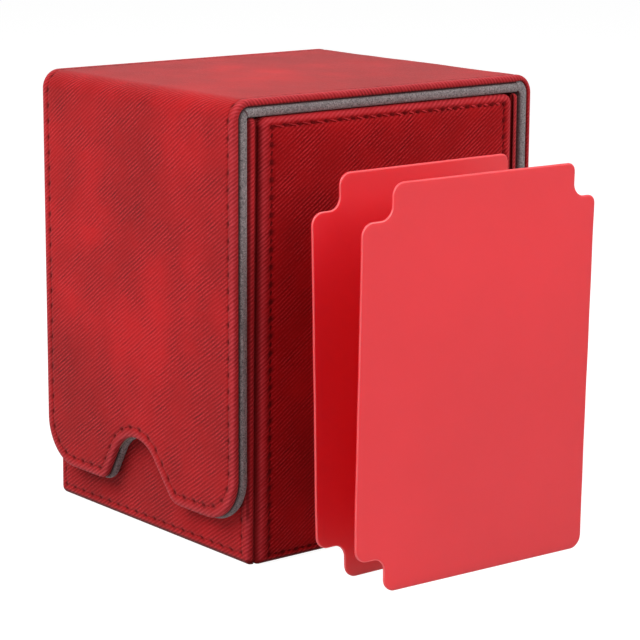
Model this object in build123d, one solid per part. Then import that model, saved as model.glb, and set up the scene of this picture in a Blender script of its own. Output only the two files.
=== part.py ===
from build123d import *

import os
from math import asin, atan2, cos, hypot, pi, tan

# A card case: a box of leather-covered boards, open at the top, with a soft cover sewn to its
# rear wall. The cover folds twice, over the rim as a lid and down the front as a flap, which
# hidden magnets hold shut. Two loose card dividers stand beside the case.
# Millimetres, +Z up, the origin at the centre of the base on the table. The flap faces -Y.

# The box
BOX_WIDTH = 78.5
BOX_DEPTH = 80.9
BOX_HEIGHT = 101.8
WALL_BOARD = 1.0
SIDE_BOARD = 1.6
SIDE_FOAM = 1.2
BASE_BOARD = 2.0
SIDE_EDGE_ROUND = 1.7
SEAM_GAP = 0.7
SEAM_STRIP = 0.5
LINING_SETBACK = 2.0

# Sheets shared by the box and its cover
LEATHER = 0.8
LINING = 0.5
EDGE_ROUND = 1.0

# A round inside a wall takes up at most this much of it
MOST_OF_WALL = 0.8

# Places nearer to each other than this count as one
SAME_PLACE = 1e-4

# The cover: rear panel, lid and flap, with a fold between each two. It is as wide as the box's
# front and rear walls, which the padded sides stand a little proud of.
COVER_SETBACK = 1.0
COVER_BACKING = 0.8
COVER_BOARD = 1.9
COVER_EDGE_ROUND = 1.2
PAD_INSET = 0.1
CLOSE_GAP = 0.25
FOLD_RADIUS = 4.5
FOLD_INNER_RADIUS = 0.8
REAR_BOTTOM = 1.0
REAR_CORNER = 3.0
FLAP_BOTTOM = 9.9
FLAP_CORNER = 11.0

# The thumb notch in the flap's lower edge: a round arch whose flanks flare out at the foot
NOTCH_WIDTH = 28.4
NOTCH_HEIGHT = 12.0
NOTCH_ARCH = 11.0
NOTCH_FLARE = 5.0

# Disc magnets in pairs, one set in the flap's board and one in the front wall's
MAGNET_DIAMETER = 10.0
MAGNET_THICKNESS = 0.8
MAGNET_SPREAD = 48.0
MAGNET_LEVEL = 21.0
MAGNET_CLEARANCE = 0.1

# The dividers, sheets of plastic with three notched corners, each set down on its lower edge with
# its front corner this far out from the box's side and back from its front. They lean and turn a
# little, and their far upper notches, given as width and height, are not cut quite alike.
DIVIDER_WIDTH = 66.0
DIVIDER_HEIGHT = 91.0
DIVIDER_THICKNESS = 0.6
DIVIDER_NOTCH = 8.0
DIVIDER_ROUND = 3.0
INNER_DIVIDER_STANDOFF = 19.05
INNER_DIVIDER_SETBACK = 3.8
INNER_DIVIDER_LEAN_DEGREES = -1.9
INNER_DIVIDER_TURN_DEGREES = 0.2
INNER_DIVIDER_FAR_NOTCH = (8.0, 8.0)
OUTER_DIVIDER_STANDOFF = 31.55
OUTER_DIVIDER_SETBACK = 4.05
OUTER_DIVIDER_LEAN_DEGREES = 1.0
OUTER_DIVIDER_TURN_DEGREES = -2.4
OUTER_DIVIDER_FAR_NOTCH = (6.3, 7.75)

# Places that follow from those sizes
HALF_WIDTH = BOX_WIDTH / 2
HALF_DEPTH = BOX_DEPTH / 2
WALL = LEATHER + WALL_BOARD
WALL_INNER = HALF_DEPTH - WALL
SIDE = LEATHER + SIDE_FOAM + SIDE_BOARD
SIDE_INNER = HALF_WIDTH - SIDE
BASE_TOP = LEATHER + BASE_BOARD
COVER_HALF = HALF_WIDTH - COVER_SETBACK
COVER_SKIN = LEATHER + COVER_BACKING
COVER_PAD = COVER_BOARD + LINING
COVER = COVER_SKIN + COVER_PAD
LID_UNDERSIDE = BOX_HEIGHT + CLOSE_GAP
FLAP_INNER = -HALF_DEPTH - CLOSE_GAP
REAR_INNER = HALF_DEPTH
FOLD_Z = LID_UNDERSIDE + COVER - FOLD_RADIUS
FRONT_FOLD_Y = FLAP_INNER - COVER + FOLD_RADIUS
REAR_FOLD_Y = REAR_INNER + COVER - FOLD_RADIUS

# Where each fold turns: there its leather lies flat, unstretched, when the fold is opened out
FOLD_PIVOT = FOLD_RADIUS * (1 - pi / 4)
PIVOT_Z = LID_UNDERSIDE + COVER - FOLD_PIVOT
FRONT_PIVOT_Y = FLAP_INNER - COVER + FOLD_PIVOT
REAR_PIVOT_Y = REAR_INNER + COVER - FOLD_PIVOT


def block(x, y, z):
    """A box between two limits on each axis."""
    size = [high - low for low, high in (x, y, z)]
    middle = [(low + high) / 2 for low, high in (x, y, z)]
    return Pos(*middle) * Box(*size)


def both(limit):
    """Limits as far on one side of the middle as on the other."""
    return (-limit, limit)


def on_plane(shape, axis, level):
    """The edges of a shape that lie in one plane square to an axis."""
    return shape.edges().filter_by_position(axis, level - SAME_PLACE, level + SAME_PLACE)


def corners(face, x, y):
    """The corners of a face at one place, and at its mirror image across the middle."""
    level = [v for v in face.vertices() if abs(v.Y - y) < SAME_PLACE]
    return [v for v in level if abs(abs(v.X) - abs(x)) < SAME_PLACE]


# The cover's panels are drawn flat, face up, with the fold side at the top, and then stood in place.


def flap_outline(inset):
    """The flap's outline, drawn in from its cut edge by an inset, with the notch widened to suit."""
    half_base = NOTCH_WIDTH / 2
    reach = hypot(half_base, NOTCH_HEIGHT - NOTCH_ARCH)
    flank = atan2(NOTCH_HEIGHT - NOTCH_ARCH, half_base) + asin(NOTCH_ARCH / reach)
    side = COVER_HALF - inset
    foot = FLAP_BOTTOM - FOLD_Z + inset
    base = half_base + inset * tan(flank / 2)
    peak = foot - inset + half_base * tan(flank) + inset / cos(flank)
    right = [(side, 0), (side, foot), (base, foot)]
    left = [(-x, y) for x, y in reversed(right)]
    face = make_face(Polyline(*right, (0, peak), *left, close=True))
    face = fillet(corners(face, 0, peak), NOTCH_ARCH + inset)
    face = fillet(corners(face, base, foot), NOTCH_FLARE - inset)
    return fillet(corners(face, side, foot), FLAP_CORNER - inset)


def rear_outline(inset):
    """The rear panel's outline: square at the fold, with small round lower corners."""
    side = COVER_HALF - inset
    foot = REAR_BOTTOM - FOLD_Z + inset
    face = make_face(Polyline((side, 0), (side, foot), (-side, foot), (-side, 0), close=True))
    return fillet(corners(face, side, foot), REAR_CORNER - inset)


def lid_outline(inset):
    """The lid's outline, which runs from fold to fold."""
    side = COVER_HALF - inset
    front = FRONT_FOLD_Y - REAR_FOLD_Y
    return make_face(Polyline((side, 0), (side, front), (-side, front), (-side, 0), close=True))


def layer(outline, inset, low, high):
    """A flat sheet of one outline between two heights over the cover's inner face."""
    return extrude(Pos(0, 0, low) * outline(inset), high - low)


def cover_skin(outline, fold_lines):
    """Leather turned over the edge of its backing, round on the outside, open at the folds."""
    skin = layer(outline, 0, COVER_PAD, COVER)
    skin -= layer(outline, LEATHER, COVER_PAD, COVER_PAD + COVER_BACKING)
    edges = on_plane(skin, Axis.Z, COVER)
    rim = [e for e in edges if all(abs(e.center().Y - y) > SAME_PLACE for y in fold_lines)]
    return fillet(rim, COVER_EDGE_ROUND)


def cover_backing(outline):
    """The stiffening sheet that the leather is turned over."""
    return layer(outline, LEATHER, COVER_PAD, COVER_PAD + COVER_BACKING)


def cover_lining(outline):
    """Microfibre wrapped round the edge of the board, as seen along the cover's edge."""
    wrap = layer(outline, PAD_INSET, 0, COVER_PAD)
    return wrap - layer(outline, PAD_INSET + LINING, LINING, COVER_PAD)


def cover_board(outline):
    """The stiff board inside the lining."""
    return layer(outline, PAD_INSET + LINING, LINING, COVER_PAD)


def magnet_discs(y_low, clearance, length):
    """A pair of discs along Y, as pockets or as the magnets in them."""
    radius = MAGNET_DIAMETER / 2 + clearance
    disc = Pos(0, y_low + length / 2, MAGNET_LEVEL) * Rot(90, 0, 0) * Cylinder(radius, length)
    return [Pos(side * MAGNET_SPREAD / 2, 0, 0) * disc for side in (-1, 1)]


def fold_strip(y, side, outer, inner, half_length):
    """A quarter ring along X, centred on a fold."""
    quadrant = Pos(side * outer / 2, outer / 2) * Rectangle(outer, outer)
    profile = Pos(y, FOLD_Z) * ((Circle(outer) - Circle(inner)) & quadrant)
    return extrude(Plane.YZ * profile, half_length, both=True)


def fold_skin(y, side):
    """The leather round a fold, with its cut ends rounded as the panels' edges are."""
    strip = fold_strip(y, side, FOLD_RADIUS, FOLD_RADIUS - COVER_SKIN, COVER_HALF)
    arcs = strip.edges().filter_by(GeomType.CIRCLE).sort_by(SortBy.RADIUS)[-2:]
    return fillet(arcs, COVER_EDGE_ROUND)


def fold_lining(y, side):
    """The microfibre that bridges the two boards inside a fold."""
    outer = FOLD_RADIUS - COVER_SKIN
    return fold_strip(y, side, outer, FOLD_INNER_RADIUS, COVER_HALF - PAD_INSET)


def wall_skin():
    """Leather over the outside of the front wall, turned over all four edges of its board."""
    y = (-HALF_DEPTH, -WALL_INNER)
    skin = block(both(COVER_HALF), y, (0, BOX_HEIGHT))
    skin -= wall_board()
    return fillet(on_plane(skin, Axis.Y, -HALF_DEPTH), EDGE_ROUND)


def wall_board():
    """The front wall's board, inside its leather."""
    y = (LEATHER - HALF_DEPTH, -WALL_INNER)
    return block(both(COVER_HALF - LEATHER), y, (LEATHER, BOX_HEIGHT - LEATHER))


def wall_lining():
    """Microfibre on the inside of the front wall, from the base up to just below the rim."""
    z = (BASE_TOP + LINING, BOX_HEIGHT - LINING_SETBACK)
    return block(both(SIDE_INNER), (-WALL_INNER, LINING - WALL_INNER), z)


def side_skin():
    """Leather over the right side, padded, set between the front and rear walls with a seam gap.

    In the gap it is turned out flat on the board, as far as the walls."""
    half = WALL_INNER - SEAM_GAP
    skin = block((SIDE_INNER, HALF_WIDTH), both(half), (0, BOX_HEIGHT))
    skin = fillet(on_plane(skin, Axis.X, HALF_WIDTH), SIDE_EDGE_ROUND)
    skin += block((SIDE_INNER, SIDE_INNER + SIDE_BOARD + SEAM_STRIP), both(WALL_INNER), (0, BOX_HEIGHT))
    return skin - side_board() - side_foam()


def side_foam():
    """The foam that pads the side's leather."""
    x = (SIDE_INNER + SIDE_BOARD, HALF_WIDTH - LEATHER)
    half = WALL_INNER - SEAM_GAP - LEATHER
    foam = block(x, both(half), (LEATHER, BOX_HEIGHT - LEATHER))
    edge_round = min(SIDE_EDGE_ROUND - LEATHER, MOST_OF_WALL * SIDE_FOAM)
    return fillet(on_plane(foam, Axis.X, HALF_WIDTH - LEATHER), edge_round)


def side_board():
    """The side's board, which reaches to the front and rear walls."""
    x = (SIDE_INNER, SIDE_INNER + SIDE_BOARD)
    return block(x, both(WALL_INNER), (LEATHER, BOX_HEIGHT - LEATHER))


def side_lining():
    """Microfibre on the inside of the right side, between the linings of the walls."""
    z = (BASE_TOP + LINING, BOX_HEIGHT - LINING_SETBACK)
    return block((SIDE_INNER - LINING, SIDE_INNER), both(WALL_INNER - LINING), z)


def base_layer(low, high):
    """A sheet of the base, which fills the floor between the four walls."""
    return block(both(SIDE_INNER), both(WALL_INNER), (low, high))


def divider(standoff, setback, lean, turn, far_notch):
    """A divider on edge beside the case, notched at three corners and plain at the fourth."""
    far_step = DIVIDER_WIDTH - far_notch[0]
    far_shoulder = DIVIDER_HEIGHT - far_notch[1]
    shoulder = DIVIDER_HEIGHT - DIVIDER_NOTCH
    outline = [
        (DIVIDER_NOTCH, 0),
        (DIVIDER_WIDTH, 0),
        (DIVIDER_WIDTH, far_shoulder),
        (far_step, far_shoulder),
        (far_step, DIVIDER_HEIGHT),
        (DIVIDER_NOTCH, DIVIDER_HEIGHT),
        (DIVIDER_NOTCH, shoulder),
        (0, shoulder),
        (0, DIVIDER_NOTCH),
        (DIVIDER_NOTCH, DIVIDER_NOTCH),
    ]
    face = make_face(Polyline(*outline, close=True))
    face = fillet(face.vertices(), DIVIDER_ROUND)
    sheet = extrude(Plane.YZ * face, -DIVIDER_THICKNESS)
    sheet = Rot(0, 0, turn) * Rot(0, lean, 0) * sheet
    lift = -sheet.bounding_box().min.Z
    return Pos(HALF_WIDTH + standoff, setback - HALF_DEPTH, lift) * sheet


def cover_parts():
    """The three panels of the cover, layer by layer, and the folds between them."""
    lid_length = REAR_FOLD_Y - FRONT_FOLD_Y
    flap_place = Plane((0, FLAP_INNER, FOLD_Z), x_dir=(1, 0, 0), z_dir=(0, -1, 0))
    lid_place = Plane((0, REAR_FOLD_Y, LID_UNDERSIDE), x_dir=(1, 0, 0), z_dir=(0, 0, 1))
    rear_place = Plane((0, REAR_INNER, FOLD_Z), x_dir=(-1, 0, 0), z_dir=(0, 1, 0))
    panels = {
        "flap": (flap_place, flap_outline, [0]),
        "lid": (lid_place, lid_outline, [0, -lid_length]),
        "rear": (rear_place, rear_outline, [0]),
    }
    parts = {}
    for name, (place, outline, fold_lines) in panels.items():
        parts[f"{name}_skin"] = place * cover_skin(outline, fold_lines)
        parts[f"{name}_backing"] = place * cover_backing(outline)
        parts[f"{name}_board"] = place * cover_board(outline)
        parts[f"{name}_lining"] = place * cover_lining(outline)
    for name, y, side in (("front", FRONT_FOLD_Y, -1), ("rear", REAR_FOLD_Y, 1)):
        parts[f"{name}_fold_skin"] = fold_skin(y, side)
        parts[f"{name}_fold_lining"] = fold_lining(y, side)
    # The flap's magnets lie in blind pockets, against the backing
    pocket_y = FLAP_INNER - COVER_PAD
    for pocket in magnet_discs(pocket_y, MAGNET_CLEARANCE, MAGNET_THICKNESS):
        parts["flap_board"] -= pocket
    parts["flap_magnets"] = Compound(magnet_discs(pocket_y, 0, MAGNET_THICKNESS))
    return parts


def box_parts():
    """The box: two walls, two padded sides and a base, each a board with leather and lining."""
    parts = {
        "front_skin": wall_skin(),
        "front_board": wall_board(),
        "front_lining": wall_lining(),
        "right_skin": side_skin(),
        "right_foam": side_foam(),
        "right_board": side_board(),
        "right_lining": side_lining(),
    }
    for name in ("skin", "board", "lining"):
        parts[f"back_{name}"] = mirror(parts[f"front_{name}"], Plane.XZ)
    for name in ("skin", "foam", "board", "lining"):
        parts[f"left_{name}"] = mirror(parts[f"right_{name}"], Plane.YZ)
    # The front wall's magnets lie against its lining, opposite those in the flap
    pocket_y = -WALL_INNER - MAGNET_THICKNESS
    for pocket in magnet_discs(pocket_y, MAGNET_CLEARANCE, MAGNET_THICKNESS):
        parts["front_board"] -= pocket
    parts["front_magnets"] = Compound(magnet_discs(pocket_y, 0, MAGNET_THICKNESS))
    parts["base_skin"] = base_layer(0, LEATHER)
    parts["base_board"] = base_layer(LEATHER, BASE_TOP)
    parts["base_lining"] = base_layer(BASE_TOP, BASE_TOP + LINING)
    return parts


def main():
    parts = {**box_parts(), **cover_parts()}
    parts["inner_divider"] = divider(
        INNER_DIVIDER_STANDOFF,
        INNER_DIVIDER_SETBACK,
        INNER_DIVIDER_LEAN_DEGREES,
        INNER_DIVIDER_TURN_DEGREES,
        INNER_DIVIDER_FAR_NOTCH,
    )
    parts["outer_divider"] = divider(
        OUTER_DIVIDER_STANDOFF,
        OUTER_DIVIDER_SETBACK,
        OUTER_DIVIDER_LEAN_DEGREES,
        OUTER_DIVIDER_TURN_DEGREES,
        OUTER_DIVIDER_FAR_NOTCH,
    )
    os.makedirs("parts", exist_ok=True)
    for name, shape in parts.items():
        export_step(shape, f"parts/{name}.step")
    print(f"pivots: front y {FRONT_PIVOT_Y:.4f}, rear y {REAR_PIVOT_Y:.4f}, z {PIVOT_Z:.4f}")


main()
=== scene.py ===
from itertools import product
from math import atan2, cos, inf, pi, radians, sin, tan

import bmesh
import bpy
import numpy as np
from mathutils import Matrix, Vector, geometry, noise


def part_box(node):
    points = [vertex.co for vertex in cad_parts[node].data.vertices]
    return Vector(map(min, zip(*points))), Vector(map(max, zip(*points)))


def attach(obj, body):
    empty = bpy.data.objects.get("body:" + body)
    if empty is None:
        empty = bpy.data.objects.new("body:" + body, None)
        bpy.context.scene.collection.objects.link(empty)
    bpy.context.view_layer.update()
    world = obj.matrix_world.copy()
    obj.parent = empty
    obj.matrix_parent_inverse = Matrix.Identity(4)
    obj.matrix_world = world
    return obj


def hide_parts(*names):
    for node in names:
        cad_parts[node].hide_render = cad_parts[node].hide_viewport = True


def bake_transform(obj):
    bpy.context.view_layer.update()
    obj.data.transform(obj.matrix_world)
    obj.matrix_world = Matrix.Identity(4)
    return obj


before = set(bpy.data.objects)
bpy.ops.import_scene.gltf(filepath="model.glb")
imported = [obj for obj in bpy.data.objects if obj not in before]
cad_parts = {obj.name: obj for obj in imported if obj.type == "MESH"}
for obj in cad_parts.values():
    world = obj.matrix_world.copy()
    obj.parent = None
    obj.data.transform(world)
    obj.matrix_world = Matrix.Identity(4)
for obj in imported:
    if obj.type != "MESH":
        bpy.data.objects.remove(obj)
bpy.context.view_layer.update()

# The looks of a card case: stitched leather panels turned over their edges, a felt lining and two
# plastic dividers. Millimetres, until a mesh is made.
MM = 0.001


def span(node):
    """A node's lowest and highest corners, in millimetres."""
    low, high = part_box(node)
    return np.array(low) / MM, np.array(high) / MM


# The cover's places, read from the frame
FLAP_LOW, FLAP_HIGH = span("flap_skin")
LID_LOW, LID_HIGH = span("lid_skin")
REAR_LOW, REAR_HIGH = span("rear_skin")
PAD_LOW, PAD_HIGH = span("flap_lining")
HALF_COVER = FLAP_HIGH[0]
FLAP_Y = FLAP_LOW[1]
FLAP_FOOT = FLAP_LOW[2]
REAR_Y = REAR_HIGH[1]
FOLD_Z = FLAP_HIGH[2]
LID_Z = LID_HIGH[2]
FRONT_FOLD_Y = LID_LOW[1]
REAR_FOLD_Y = LID_HIGH[1]
FOLD_RADIUS = LID_Z - FOLD_Z
RED_LAYER = FLAP_HIGH[1] - FLAP_LOW[1]
GREY_LAYER = PAD_HIGH[1] - PAD_LOW[1]
PAD_INSET = HALF_COVER - PAD_HIGH[0]
PAD_FACE = -RED_LAYER - GREY_LAYER

# The cover unrolled flat, measured up from the flap's lower edge over both folds to the rear's.
# Its two pieces meet on the lid, a little way past the front fold.
FOLD_RUN = FOLD_RADIUS * pi / 2
FLAP_TOP = FOLD_Z - FLAP_FOOT
LID_FRONT = FLAP_TOP + FOLD_RUN
LID_REAR = LID_FRONT + REAR_FOLD_Y - FRONT_FOLD_Y
REAR_TOP = LID_REAR + FOLD_RUN
COVER_END = REAR_TOP + FOLD_Z - REAR_LOW[2]
COVER_FOLDS = [(FLAP_TOP, LID_FRONT), (LID_REAR, REAR_TOP)]
SPLIT_PAST_FOLD = 6.0
COVER_SPLIT = LID_FRONT + SPLIT_PAST_FOLD

# Outlines: the notch by its two flanks, the roundings, and the wider hems
FLAP_CORNER = 11.0
REAR_CORNER = 3.0
NOTCH_RIGHT = 14.35
NOTCH_LEFT = 13.8
NOTCH_RIGHT_SLOPE = tan(radians(50))
NOTCH_LEFT_SLOPE = tan(radians(59))
NOTCH_ARCH = 9.7
NOTCH_RIGHT_FLARE = 5.0
NOTCH_LEFT_FLARE = 3.5
LEFT_LOBE_DROP = 0.3
LEFT_LOBE_HEM = 1.2
RIGHT_LOBE_HEM = 1.3
LEFT_HEM = 1.22
NOTCH_HEM = 1.25
WALL_CORNER = 1.2
WALL_FOOT_CORNER = 1.7
WALL_GROOVE_CORNER = 0.5
SIDE_CORNER = 2.2
SIDE_FOOT_CORNER = 0.9

# How far the hand-made panels' feet stray outwards, to the left and to the right
FRONT_FOOT = (0.9, -0.65)
RIGHT_FOOT = (0.65, 0.0)

# Leather and lining
LEATHER = 0.8
LINING = 0.5
LEAST_FOLD_RADIUS = 0.8
# The dark blocks in the seam gaps, painted as the shade deep in them: thickness, lowest point and
# drop from the top
SEAM_STRIP = 0.5
SEAM_STRIP_FOOT = 0.8
SEAM_STRIP_TOP = 0.3

# Seams: how far in from the edge they lie
COVER_SEAM = 2.1
WALL_SEAM = 2.45
WALL_SIDE_SEAM = 2.3
PANEL_SEAM = 2.0
PANEL_SIDE_SEAM = 3.2

# Stitches: needle holes, the line pressed along the seam, thread, and beads
STITCH_PITCH = 3.8
PANEL_STITCH_PITCH = 3.92
PIT_LENGTH = 0.85
PIT_WIDTH = 0.5
PIT_DEPTH = 0.1
# How dark the needle holes and the pressed seam line are painted, standing in for their shade
PIT_SHADE = 0.95
PIT_SLANT = 0.6
SEAM_LINE = 0.42
SEAM_LINE_WIDTH = 0.17
THREAD_RADIUS = 0.2
THREAD_TAPER = 0.75
THREAD_DEPTH = 0.42
THREAD_RISE = 0.28
THREAD_ARCH = 0.16
THREAD_DIP = 0.2
STITCH_GAP = 1.9
STITCH_SLANT = 0.3
BEAD_SIZE = (0.62, 0.4, 0.11)
BEAD_DEPTH = 0.19
TURNS = np.linspace(0, 2 * pi, 8, endpoint=False)
SHARES = np.linspace(-1, 1, 9)
BEAD_TURNS = np.linspace(-pi / 2, pi / 2, 7)[1:-1]

# How finely the meshes are drawn
EDGE_STEP = 0.3
EDGE_CLEARANCE = 0.9 * EDGE_STEP
FIELD_STEP = 2.0
FOLD_STEP = 0.5
LEAST_CORNER = 0.25
LEAST_STEPS = 3
SHARP_ANGLE = radians(50)
FILL_INSIDE = 1
SAME_PLACE = 1e-6

# The leather's clouds: layers as height, size and step of the seed, and the panels' seeds
CLOUD_LAYERS = ((1.0, 24.0, 0.0), (0.5, 11.0, 0.37), (0.35, 5.0, 0.71))
CLOUD_CONTRAST = 0.6
CLOUD_SKEW = 1.5
COVER_CLOUDS = 18.64
WALL_CLOUDS = 1.9
SIDE_CLOUDS = 84.78

# Slight unevenness, in layers like the clouds'
COVER_UNEVEN = ((0.09, 17.0, 3.1), (0.04, 6.0, 8.7))
WALL_UNEVEN = ((0.05, 15.0, 5.5),)
SIDE_UNEVEN = ((0.08, 14.0, 1.4),)
CROWN_HEIGHT = 0.3
CROWN_POWER = 0.6

# Where an edge is worn and lit by painted sheen, on the dividers a painted highlight: insets and
# levels where it comes in, and its least share
RIM_INSETS = (0.2, 2.0)
RIM_LEVELS = (-1.5, -0.2)
RIM_LEAST = 0.25

# Camera, from the photograph's perspective: its place, and its azimuth, pitch and roll
CAMERA_PLACE = (454.03, -357.71, 169.91)
CAMERA_TURNS = ((50.932, "Z"), (90 - 12.167, "X"), (0.35, "Z"))
CAMERA_LENS = 135.96
CAMERA_SENSOR = 36.0
CAMERA_NEAR = 50.0


# Flat outlines


class Outline:
    """Straight runs joined by round corners, clockwise, with equally many points at any inset.

    A spread makes the inset of one run larger. An open outline starts and ends on a cut."""

    def __init__(self, corners, radii, closed=True, spread=None, pitch=STITCH_PITCH):
        self.corners = np.array(corners, float)
        self.radii = radii
        self.closed = closed
        self.pitch = pitch
        runs = np.roll(self.corners, -1, axis=0) - self.corners
        if not closed:
            runs = runs[:-1]
        self.run = runs / np.linalg.norm(runs, axis=1)[:, None]
        self.out = np.column_stack([-self.run[:, 1], self.run[:, 0]])
        self.spread = np.array(spread or [1.0] * len(runs))
        self.steps = None
        self.splits = None
        self.ring(0.0)

    def corner(self, i, inset):
        """A corner's radius at an inset, its turn, 1 if it is hollow or else -1, and its middle."""
        before, after = self.run[i - 1], self.run[i]
        shifts = [self.out[j] * inset * self.spread[j] for j in (i - 1, i)]
        start, other = [self.corners[i] - shift for shift in shifts]
        bend = before[0] * after[1] - before[1] * after[0]
        along = ((other - start)[0] * after[1] - (other - start)[1] * after[0]) / bend
        tip = start + before * along
        hollow = 1.0 if bend > 0 else -1.0
        radius = max(self.radii[i] + hollow * inset, LEAST_CORNER)
        turn = atan2(bend, before @ after)
        reach = radius * tan(abs(turn) / 2)
        middle = tip - before * reach + hollow * self.out[i - 1] * radius
        return radius, turn, hollow, middle

    def corner_points(self):
        """The numbers of the points in the middle of each corner, on a closed outline's rings."""
        steps = np.array(list(self.steps.values()))
        ends = np.cumsum(steps + self.splits)
        return ends - self.splits - steps + steps // 2

    def ring(self, inset):
        """The outline's points at an inset from its edge."""
        count = len(self.corners)
        rounds = range(count) if self.closed else range(1, count - 1)
        arcs = {i: self.corner(i, inset) for i in rounds}
        if self.steps is None:
            sweeps = {i: radius * abs(turn) for i, (radius, turn, *_) in arcs.items()}
            self.steps = {i: max(LEAST_STEPS, round(sweeps[i] / EDGE_STEP)) for i in rounds}
        points = {}
        for i, (radius, turn, hollow, middle) in arcs.items():
            first = atan2(self.out[i - 1][1], self.out[i - 1][0])
            angles = first + turn * np.linspace(0, 1, self.steps[i] + 1)
            spokes = np.column_stack([np.cos(angles), np.sin(angles)])
            points[i] = middle - hollow * radius * spokes
        if not self.closed:
            for i, j in ((0, 0), (count - 1, -1)):
                points[i] = (self.corners[i] - self.out[j] * inset * self.spread[j])[None]
        if self.splits is None:
            self.splits = []
            for i in range(len(self.run)):
                length = np.linalg.norm(points[(i + 1) % count][0] - points[i][-1])
                self.splits.append(max(1, round(length / EDGE_STEP)))
        made = []
        for i in range(count):
            made.append(points[i])
            if i < len(self.run):
                share = np.linspace(0, 1, self.splits[i] + 1)[1:-1, None]
                made.append(points[i][-1] * (1 - share) + points[(i + 1) % count][0] * share)
        return np.vstack(made)


def cover_front_outline(drop=0.0):
    """The flap with its notch, which a drop lowers, the front fold and the lid up to the split."""
    rise = NOTCH_RIGHT * NOTCH_RIGHT_SLOPE - NOTCH_LEFT * NOTCH_LEFT_SLOPE
    tip = rise / (NOTCH_RIGHT_SLOPE + NOTCH_LEFT_SLOPE)
    apex = (tip, (NOTCH_RIGHT - tip) * NOTCH_RIGHT_SLOPE - drop)
    right = [(HALF_COVER, COVER_SPLIT), (HALF_COVER, -drop), (NOTCH_RIGHT, -drop)]
    low = -drop - LEFT_LOBE_DROP
    left = [(-NOTCH_LEFT, low), (-HALF_COVER, low), (-HALF_COVER, COVER_SPLIT)]
    radii = [0, FLAP_CORNER, NOTCH_RIGHT_FLARE, NOTCH_ARCH, NOTCH_LEFT_FLARE, FLAP_CORNER, 0]
    spread = [1.0, RIGHT_LOBE_HEM, NOTCH_HEM, 1.0, LEFT_LOBE_HEM, LEFT_HEM]
    return Outline([*right, apex, *left], radii, closed=False, spread=spread)


def cover_back_outline():
    """The lid from the split, the rear fold and the rear panel."""
    left = [(-HALF_COVER, COVER_SPLIT), (-HALF_COVER, COVER_END)]
    right = [(HALF_COVER, COVER_END), (HALF_COVER, COVER_SPLIT)]
    radii = [0, REAR_CORNER, REAR_CORNER, 0]
    return Outline([*left, *right], radii, closed=False, spread=[LEFT_HEM, 1.0, 1.0])


def block_outline(half, height, radii, side_spread, foot, pitch=STITCH_PITCH):
    """An upright panel, whose seams may lie otherwise at its sides than at its top and bottom."""
    left, right = foot
    corners = [(half, height), (half + right, 0), (-half - left, 0), (-half, height)]
    return Outline(corners, radii, spread=[side_spread, 1.0, side_spread, 1.0], pitch=pitch)


# From flat sheets to their places


def place_cover(u, v, h):
    """Wraps the unrolled cover round the case, at a height over its outer face."""
    radius = np.maximum(FOLD_RADIUS + h, LEAST_FOLD_RADIUS)
    front = np.clip((v - FLAP_TOP) / FOLD_RADIUS, 0, pi / 2)
    rear = np.clip((v - LID_REAR) / FOLD_RADIUS, 0, pi / 2)
    flap_fold_lid_fold = [v < FLAP_TOP, v < LID_FRONT, v < LID_REAR, v < REAR_TOP]
    y_front = [FLAP_Y - h, FRONT_FOLD_Y - radius * np.cos(front)]
    y_rear = [FRONT_FOLD_Y + v - LID_FRONT, REAR_FOLD_Y + radius * np.sin(rear)]
    z_front = [FLAP_FOOT + v, FOLD_Z + radius * np.sin(front)]
    z_rear = [LID_Z + h, FOLD_Z + radius * np.cos(rear)]
    y = np.select(flap_fold_lid_fold, y_front + y_rear, REAR_Y + h)
    z = np.select(flap_fold_lid_fold, z_front + z_rear, FOLD_Z - (v - REAR_TOP))
    return np.column_stack([u, y, z])


def place_wall(y, side):
    """Stands a flat panel up as the front wall (side -1) or the back wall (side 1)."""
    return lambda u, v, h: np.column_stack([-side * u, y + side * h, v])


def place_side(x, side):
    """Stands a flat panel up as the left side (side -1) or the right side (side 1)."""
    return lambda u, v, h: np.column_stack([x + side * h, side * u, v])


# Meshes


def add_object(name, data):
    """Puts a mesh, a light or a camera into the scene."""
    made = bpy.data.objects.new(name, data)
    bpy.context.scene.collection.objects.link(made)
    return made


def eased(start, end, value):
    """Goes smoothly from 0 at the start value to 1 at the end value."""
    share = np.clip((value - start) / (end - start), 0, 1)
    return share * share * (3 - 2 * share)


def faded(strength, start, end, value):
    """A strength that comes in smoothly between two values."""
    return strength * eased(start, end, value)


def waves(u, v, size, seed):
    """Smooth noise from about -1 to 1 over a sheet, with waves of one size."""
    places = zip(np.ravel(u) / size, np.ravel(v) / size)
    values = [noise.noise(Vector((a, b, seed))) for a, b in places]
    return np.array(values).reshape(np.shape(u))


def layered_waves(u, v, layers, seed=0.0):
    """Waves added up in layers, each with its height, its size and its step of the seed."""
    return sum(height * waves(u, v, size, seed + step) for height, size, step in layers)


def uneven(layers):
    """A panel's slight unevenness."""
    return lambda u, v: layered_waves(u, v, layers)


def clouds(u, v, seed):
    """The leather's mottling from 0, dark, to 1, light: mostly dark, with light patches."""
    value = layered_waves(u, v, CLOUD_LAYERS, seed)
    return np.clip(0.5 + CLOUD_CONTRAST * value, 0, 1) ** CLOUD_SKEW


def lengths(points, closed):
    """How far along a line its points lie, with the whole length last if it is closed."""
    loop = np.vstack([points, points[:1]]) if closed else points
    return np.concatenate([[0], np.cumsum(np.linalg.norm(np.diff(loop, axis=0), axis=1))])


def at_lengths(line, along, at):
    """The places on a line at some lengths along it."""
    return np.column_stack([np.interp(at, along, line[:, k]) for k in (0, 1)])


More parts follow.
